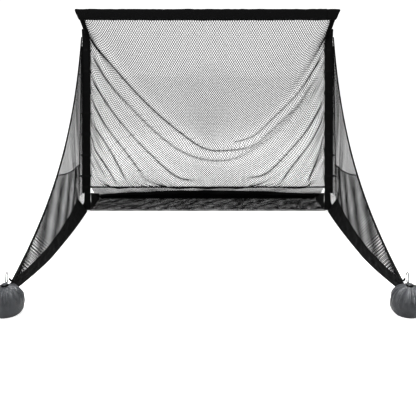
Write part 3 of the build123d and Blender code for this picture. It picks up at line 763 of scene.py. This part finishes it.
# Post covers ------------------------------------------------------------------------------------------------
for side, sx in SIDES:
    rows_, cols_ = 380, 44
    s = np.linspace(S_LOW, S_TOP, rows_)
    th = np.linspace(0, 2 * pi, cols_, endpoint=False)
    half_w, half_d = 0.0500, 0.0400
    puff = (
        0.0011 * noise2((rows_, cols_), (9, 5), 21 + sx)
        + 0.0008 * np.sin(s[:, None] * 34 + 3 * np.sin(th)[None, :])
    )
    puff[:, -5:] *= np.linspace(1, 0, 5)
    puff[:, :5] *= np.linspace(0, 1, 5)
    ends = np.clip(np.minimum(s - S_LOW, S_TOP - s) / 0.015, 0, 1)[:, None]
    grow = 0.93 + 0.07 * ends**0.5
    cx = sx * (HALF + COVER_OUT)
    full_c, full_s = (
        np.sign(np.cos(th)) * np.abs(np.cos(th)) ** 0.82, np.sign(np.sin(th)) * np.abs(np.sin(th)) ** 0.82
    )
    x = cx + (half_w * full_c[None, :]) * grow + np.cos(th)[None, :] * puff
    d = (half_d * full_s[None, :]) * grow + np.sin(th)[None, :] * puff
    pts = np.zeros((rows_, cols_, 3))
    pts[..., 0] = x
    pts += np.array([0, FY, 0]) + UP * s[:, None, None] + BACK * d[..., None]
    cover = surface(f"post_cover_{side}", pts, cloth, closed=True, caps=True, flip=True)
    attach(cover, "frame")
    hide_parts(f"post_sleeve_{side}", f"post_foam_{side}")

# Thread stitches: along the header's lower front edge and down each post cover
for k, z_off in enumerate((-0.040, -0.0405)):
    line = np.array(
        [[x, FY + TOP_Y - 0.0422 + 0.0006 * k, HEAD_Z + z_off - 0.006 * k] for x in np.linspace(-1.37, 1.37, 60)]
    )
    stitches(f"header_hem_stitches_{k + 1}", line)
for side, sx in SIDES:
    line = [
        on_frame(sx * (HALF + COVER_OUT - 0.0485), s) - BACK * 0.008
        for s in np.linspace(S_LOW + 0.02, S_TOP - 0.02, 80)
    ]
    stitches(f"post_seam_stitches_{side}", np.array(line))

# Foot wraps: the cloth below each post sleeve, spreading towards the side net's corner ----------------------
for side, sx in SIDES:
    rows_, cols_ = 26, 44
    th = np.linspace(0, 2 * pi, cols_, endpoint=False)
    pts = np.zeros((rows_, cols_, 3))
    for k, s in enumerate(np.linspace(0.2195, 0.012, rows_)):
        spread = np.clip((0.13 - s) / 0.12, 0, 1) ** 1.5
        outer, inner = 0.0365 + 0.075 * spread, 0.0365 + 0.004 * spread
        reach_x = np.where(np.cos(th) > 0, outer, inner) * np.cos(th)
        wrinkle = 0.0014 * np.sin(5 * th + s * 60) * (1 - abs(2 * k / rows_ - 1)) + 0.001 * np.sin(9 * th - s * 90)
        pts[k] = on_frame(sx * HALF, s)
        pts[k, :, 0] += sx * (reach_x + wrinkle * np.cos(th))
        pts[k] += BACK * ((0.036 + wrinkle) * np.sin(th))[:, None]
    pts[..., 2] = np.maximum(pts[..., 2], 0.003)
    wrap = surface(f"foot_wrap_{side}", pts, cloth, closed=True, flip=sx > 0)
    wrap = thicken(wrap, 0.0015)
    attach(wrap, "frame")
    if side == "left":
        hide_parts("foot_covers")

    # a triangular cloth from the post's foot back to the rear corner
    t_ = np.linspace(0, 1, 30)[None, :]
    v_ = np.linspace(0, 1, 10)[:, None]
    y = 0.035 + 0.505 * t_
    top_z = 0.215 - 0.140 * t_**0.9
    z = 0.004 + (top_z - 0.004) * v_
    yy = y + 0.04 * v_ * (1 - t_)
    xx = sx * (1.4365 + 0.003 * np.sin(9 * y + 4 * v_) * np.sin(pi * t_))
    gusset = thicken(surface(f"side_gusset_{side}", np.stack([xx, FY + yy, z], -1), cloth), 0.0012)
    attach(gusset, "frame")

# Lower rope -------------------------------------------------------------------------------------------------
rope_path = nurbs_route([on_frame(-1.421, 0.295), on_frame(0, 0.291), on_frame(1.421, 0.295)])
low_rope = cord_mesh("lower_rope", rope_path, 0.0076, rope_mat, step=0.004)
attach(low_rope, "frame")
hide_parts("bottom_rope")
turns = np.linspace(0, 1, 3400)
spot = np.stack([np.interp(turns, np.linspace(0, 1, len(rope_path)), rope_path[:, k]) for k in range(3)], 1)
wind = 2 * pi * turns * 84
lace_path = spot + 0.0096 * (np.cos(wind)[:, None] * UP + np.sin(wind)[:, None] * BACK)
lacing = cord_mesh("rope_lacing", lace_path, 0.0019, rope_mat, step=0.006, sides=5)
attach(lacing, "frame")

# Side nets --------------------------------------------------------------------------------------------------
SIDE_END = -2.388  # where it stops in front of the foot line
SIDE_PANEL, LINING_HEIGHT = (3.021, 2.04), 0.72
# The free edge is one curve from the post's top to the bag, as (y, z)
EDGE_TOP, EDGE_BEND, EDGE_TIP = (0.633, 2.033), (-0.385, 0.596), (-2.396, 0.206)
HEM_X = 1.545  # how far out the net stands at the post's top
GAP = (0.05, 2.02)  # the net strip between post and side net


def edge_point(t):
    a, b, c = (1 - t) ** 2, 2 * t * (1 - t), t * t
    return tuple(a * EDGE_TOP[k] + b * EDGE_BEND[k] + c * EDGE_TIP[k] for k in (0, 1))


edge_t = np.linspace(0, 1, 400)
edge_y, edge_z = edge_point(edge_t)


def edge_height(y):
    return np.interp(-y, -edge_y, edge_z)


def reach(y):
    return np.clip(y / SIDE_END, 0, 1)


def foot_x(y):
    t = reach(y)
    return HALF + 0.027 * t - 0.038 * np.sin(pi * t) * (1 - t)


def band_x(y):
    return foot_x(y) + 0.108 * (1 - reach(y)) ** 2


def hem_x(y):
    return HEM_X + 0.038 * (1 - y / EDGE_TOP[0])


def top_x(y):
    s = np.clip((EDGE_TOP[0] - y) / 3.033, 0, 1)
    return HEM_X - 0.069 * s - 0.001 * np.sin(pi * s)


def bottom_z(y):
    return 0.001 + 0.100 * np.clip((reach(y) - 0.60) / 0.40, 0, 1) ** 1.5


def band_top(y):
    return np.minimum(bottom_z(y) + 0.160 * (1 - 0.48 * reach(y) ** 1.3), edge_height(y) - 0.012)


def side_x(y, z, fold=1.0):
    """How far out the side net stands at y behind the foot line and height z."""
    low_z = np.maximum(band_top(y), y / tan(LEAN) + 0.012)
    low = np.where(y > 0, hem_x(y), band_x(y))
    high_z = np.maximum(edge_height(y), low_z + 0.01)
    t = np.clip((z - low_z) / (high_z - low_z), 0, 1)
    sag = np.sin(pi * t) * np.clip((high_z - low_z) / 0.8, 0, 1)
    flat = low + (top_x(y) - low) * t
    folds = wave(y, z, ((0.0013, 2.3, 0.5, 0.4), (0.0006, 4.4, 1.1, 2.0), (0.0004, 7.5, -0.7, 1.0)))
    return flat + 0.004 * sag + folds * sag * fold


def side_twine(bars, base, thinner, thicker):
    """The twine's radius: less beside the foot, where the net is seen edge-on, and more towards the bag."""
    y = bars[:, 1:2] - FY
    return base - thinner * np.exp(-(((y + 0.35) / 0.45) ** 2)) + thicker * reach(y)


def side_inside(y, z):
    return (
        (z < edge_height(y) - 0.004) & (z > band_top(y) - 0.004) & (z > y / tan(LEAN) + 0.010) & (y > SIDE_END)
        & (y < 0.628)
    )


def cut_area(inside, step=0.004):
    """The flat area of the cut whose outline inside(y, z) gives. It doesn't look at the modelled net."""
    y, z = np.meshgrid(np.arange(SIDE_END, 0.64, step), np.arange(0, 2.06, step), indexing="ij")
    return float(inside(y, z).sum()) * step**2


def fold_side(obj):
    """Bakes the piece's placement into its mesh."""
    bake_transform(obj)


for side, sx in SIDES:
    def place(a, b, fold=1.0, inward=0.0):
        y, z = a + SIDE_END, b
        return np.stack([sx * (side_x(y, z, fold) - inward), FY + y, z], 1)

    p0, p1 = panel_bars(*SIDE_PANEL, place, lambda a, b: side_inside(a + SIDE_END, b), across=0.046, down=0.034)
    net = strands(f"side_net_mesh_{side}", p0, p1, twine_mat, side_twine(p0, 0.0026, 0.0005, 0.0004))
    fold_side(net)
    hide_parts(f"side_net_{side}")

    def seam_z(y):
        """Where the second layer starts: it leaves the post at 0.545 m and climbs to the free edge."""
        t = np.clip((0.17 - y) / 1.17, 0, 1)
        return 0.545 + 0.145 * t - 0.03 * np.sin(pi * t)

    p0, p1 = panel_bars(
        SIDE_PANEL[0], LINING_HEIGHT, lambda a, b: place(a, b, 0.8, 0.006), lambda a,
        b: side_inside(a + SIDE_END, b) & (b < seam_z(a + SIDE_END)), across=0.050, down=0.037
    )
    lining = strands(f"side_lining_mesh_{side}", p0, p1, twine_mat, side_twine(p0, 0.0021, 0.0007, 0.0008))
    fold_side(lining)
    cut_area(lambda y, z: side_inside(y, z) & (z < seam_z(y)))
    seam_y = np.linspace(0.17, -1.2, 150)
    seam = np.stack([sx * (side_x(seam_y, seam_z(seam_y), 0.9) - 0.003), FY + seam_y, seam_z(seam_y)], 1)
    keep = seam_z(seam_y) < edge_height(seam_y) - 0.01
    seam_cord = cord_mesh(f"side_seam_cord_{side}", seam[keep], 0.0062, rope_mat, step=0.006, sides=6)
    fold_side(seam_cord)

    # the free edge's rope and the knotted hem beside the post
    ts = np.linspace(0, 1, 90)
    y, z = edge_point(ts)
    x = top_x(y) + 0.0015
    path = np.stack([sx * x, FY + y, z], 1)
    tang = np.gradient(path, axis=0)
    tang /= np.linalg.norm(tang, axis=1)[:, None]
    path[:, 1] += 0.008 * tang[:, 2]
    path[:, 2] -= 0.008 * tang[:, 1]
    to_hook = np.array(
        [[sx * 1.4835, FY - 2.400, 0.208], [sx * 1.4925, FY - 2.404, 0.216], [sx * 1.4965, FY - 2.406, 0.231]]
    )
    rope = cord_mesh(f"side_edge_rope_{side}", np.vstack([path, to_hook]), 0.0072, rope_mat, step=0.005, sides=8)
    fold_side(rope)
    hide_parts(f"edge_rope_{side}")
    tape_rows = []
    for k in (0.0, 0.5, 1.0):
        row = np.stack([sx * (x - 0.0005), FY + y, z], 1)
        row[:, 1] -= (0.001 + 0.013 * k) * tang[:, 2]
        row[:, 2] += (0.001 + 0.013 * k) * tang[:, 1]
        row[:, 0] += sx * 0.001 * np.sin(np.arange(len(x)) * 0.9 + k)
        tape_rows.append(row)
    tape = thicken(surface(f"side_edge_tape_{side}", np.array(tape_rows), webbing), 0.0014)
    fold_side(tape)

    ys = np.linspace(0.62, 0.03, 120)
    hem = np.stack([sx * (hem_x(ys) + 0.0015 + 0.001 * noise1(120, 4, 9)), FY + ys, ys / tan(LEAN) + 0.013], 1)
    down = np.stack([sx * (band_x(np.zeros(8)) + 0.002), np.full(8, FY + 0.02), np.linspace(0.10, 0.02, 8)], 1)
    hem_rope = cord_mesh(f"side_hem_cord_{side}", np.vstack([hem, down]), 0.0045, rope_mat, step=0.005, sides=8)
    fold_side(hem_rope)
    # lacing that joins the hem to the post's cover
    ladder = np.linspace(0.60, 0.05, 130)
    zig = np.where(np.arange(130) % 2 == 0, hem_x(ladder), 1.5395)
    lace = cord_mesh(
        f"side_lacing_{side}", np.stack([sx * zig, FY + ladder, ladder / tan(LEAN) + 0.013], 1), 0.0024, rope_mat,
        step=0.006, sides=5
    )
    fold_side(lace)

    def gap(a, b):
        y = b * sin(LEAN)
        inner = np.where(b < 0.212, 1.509, 1.534)
        return np.stack([sx * (inner + (hem_x(y) - inner) * a / GAP[0]), FY + y + 0.001, b * cos(LEAN) + 0.004], 1)

    p0, p1 = panel_bars(*GAP, gap, across=0.0125, down=0.021)
    gap_net = strands(f"side_gap_mesh_{side}", p0, p1, twine_mat, 0.0023)
    fold_side(gap_net)
    tufts = resample(hem, 0.045)
    hem_knots = knot_mesh(f"side_hem_knots_{side}", tufts, 0.0085, rope_mat)
    fold_side(hem_knots)
    cut_area(side_inside)

    # bottom band
    nb, mb = 260, 14
    y = np.linspace(-0.012, SIDE_END, nb)
    pts = np.zeros((mb, nb, 3))
    for k in range(mb):
        t = k / (mb - 1)
        z = bottom_z(y) + (band_top(y) - bottom_z(y)) * t
        out = foot_x(y) + (band_x(y) - foot_x(y)) * t + 0.006 * noise1(nb, 9, 70 + k // 4) * sin(pi * t)
        pts[k] = np.stack([sx * out, FY + y, z + 0.002], 1)
    band = thicken(surface(f"side_band_cover_{side}", pts, cloth), 0.0015)
    fold_side(band)
    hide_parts(f"side_band_{side}")

# Sandbags ---------------------------------------------------------------------------------------------------
BAG = (1.5, -2.510)  # its middle, across and in front of the foot line
TIE = 0.0225  # the tie's radius round the neck
for side, sx in SIDES:
    rows_, cols_ = 72, 160
    th = np.linspace(0, 2 * pi, cols_, endpoint=False)
    prof = curve_through(
        [
            (0.0, 0, 0.0015), (0.06, 0, 0.0012), (0.099, 0, 0.004), (0.122, 0, 0.040), (0.1285, 0, 0.10),
            (0.120, 0, 0.150), (0.092, 0, 0.190), (0.050, 0, 0.211), (0.024, 0, 0.217), (0.0155, 0, 0.2215),
            (0.019, 0, 0.227), (0.026, 0, 0.232)
        ],
        8
    )
    prof = resample(prof, 0.0052)
    r0, z0 = prof[:, 0][:, None], prof[:, 2][:, None]
    gather = np.clip((z0 - 0.07) / 0.13, 0, 1) ** 1.2
    pleat = np.zeros((len(prof), cols_))
    pr = np.random.default_rng(50 + sx)
    for k in range(9):
        freq = int(pr.integers(9, 24))
        pleat += pr.uniform(0.3, 1) * np.cos(freq * th[None, :] + pr.uniform(0, 6.3) + 0.5 * np.sin(z0 * 20 + k))
    pleat /= 2.6
    r = r0 * (1 + 0.12 * gather * pleat * np.clip(r0 / 0.03, 0.6, 1)) - 0.002 * gather
    r = r + 0.0022 * noise2((len(prof), cols_), (7, 12), 90 + sx) * np.clip(r0 / 0.1, 0, 1)
    lean = np.clip(z0 / 0.23, 0, 1) ** 2
    pts = np.zeros((len(prof), cols_, 3))
    pts[..., 0] = sx * BAG[0] + r * np.cos(th)[None, :] - sx * 0.004 * lean
    pts[..., 1] = FY + BAG[1] + r * np.sin(th)[None, :] * 0.985 + 0.006 * lean
    pts[..., 2] = z0
    bag = surface(f"sandbag_cover_{side}", pts, bag_cloth, closed=True, caps=True)
    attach(bag, f"side_{side}")
    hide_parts(f"sandbag_{side}", f"sand_fill_{side}")
    ang = np.linspace(0, 2 * pi * 2.4, 90)
    tie = np.stack(
        [
            sx * (BAG[0] - 0.004) + TIE * np.cos(ang), FY + BAG[1] + 0.006 + TIE * np.sin(ang),
            0.2225 + 0.0050 * (ang / ang[-1] - 0.5) * 2
        ],
        1
    )
    tie_cord = cord_mesh(f"bag_tie_cord_{side}", tie, 0.0038, rope_mat, step=0.003, sides=8)
    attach(tie_cord, f"side_{side}")
    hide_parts(f"bag_tie_{side}")

# Stage, lights and camera -----------------------------------------------------------------------------------
FLOOR_GLOW = 0.80  # the floor's own light, for the camera only
CAMERA, PITCH = (0.006, FY - 5.86, 1.867), 17.33  # solved from the photo
bpy.context.scene.view_settings.view_transform = "Standard"
bpy.context.scene.view_settings.gamma = 0.8
bpy.ops.mesh.primitive_plane_add(size=60, location=(0, 6, -0.0012))
floor = bpy.context.object
floor.name = "floor"
floor_mat = material("pale_floor", (0.55, 0.55, 0.55), 0.9, specular=0.1)
floor.data.materials.append(floor_mat)
glow = node(floor_mat, "ShaderNodeEmission")
path_in = node(floor_mat, "ShaderNodeLightPath")
strength = node(floor_mat, "ShaderNodeMath", operation="MULTIPLY")
strength.inputs[1].default_value = FLOOR_GLOW
link(floor_mat, path_in, "Is Camera Ray", strength, 0)
link(floor_mat, strength, "Value", glow, "Strength")
both = node(floor_mat, "ShaderNodeAddShader")
link(floor_mat, floor_mat.node_tree.nodes["Principled BSDF"], "BSDF", both, 0)
link(floor_mat, glow, "Emission", both, 1)
link(floor_mat, both, "Shader", floor_mat.node_tree.nodes["Material Output"], "Surface")

world = bpy.data.worlds.new("studio")
bpy.context.scene.world = world
world.use_nodes = True
bg = world.node_tree.nodes["Background"]
bg.inputs["Color"].default_value = (1, 1, 1, 1)
seen_by_camera = world.node_tree.nodes.new("ShaderNodeLightPath")
level = world.node_tree.nodes.new("ShaderNodeMapRange")
level.inputs["To Min"].default_value = 0.45
level.inputs["To Max"].default_value = 1.1
world.node_tree.links.new(seen_by_camera.outputs["Is Camera Ray"], level.inputs["Value"])
world.node_tree.links.new(level.outputs["Result"], bg.inputs["Strength"])


def area(name, place, target, size, power):
    light = bpy.data.lights.new(name, "AREA")
    light.shape, light.size, light.energy = "DISK", size, power
    obj = bpy.data.objects.new(name, light)
    bpy.context.scene.collection.objects.link(obj)
    obj.location = place
    obj.rotation_euler = (Vector(target) - Vector(place)).to_track_quat("-Z", "Y").to_euler()


area("key", (-3.0, -5.5, 5.5), (0, 0.5, 0.8), 2.6, 420)
area("fill", (4.5, -4.5, 3.5), (0, 0.5, 0.8), 4.0, 140)
area("rim", (0.0, 5.5, 5.0), (0, 0.8, 1.2), 3.0, 120)
for side, sx in SIDES:
    bag_spot = (sx * BAG[0], FY + BAG[1], 0.2)
    area(f"bag_light_{side}", (sx * 1.35, FY + BAG[1] + 0.25, 1.5), bag_spot, 0.4, 24)

cam_data = bpy.data.cameras.new("camera")
cam_data.lens, cam_data.sensor_width = 43.27, 36.0
cam = bpy.data.objects.new("camera", cam_data)
bpy.context.scene.collection.objects.link(cam)
cam.location = CAMERA
cam.rotation_euler = (radians(90 - PITCH), 0, 0)
bpy.context.scene.camera = cam
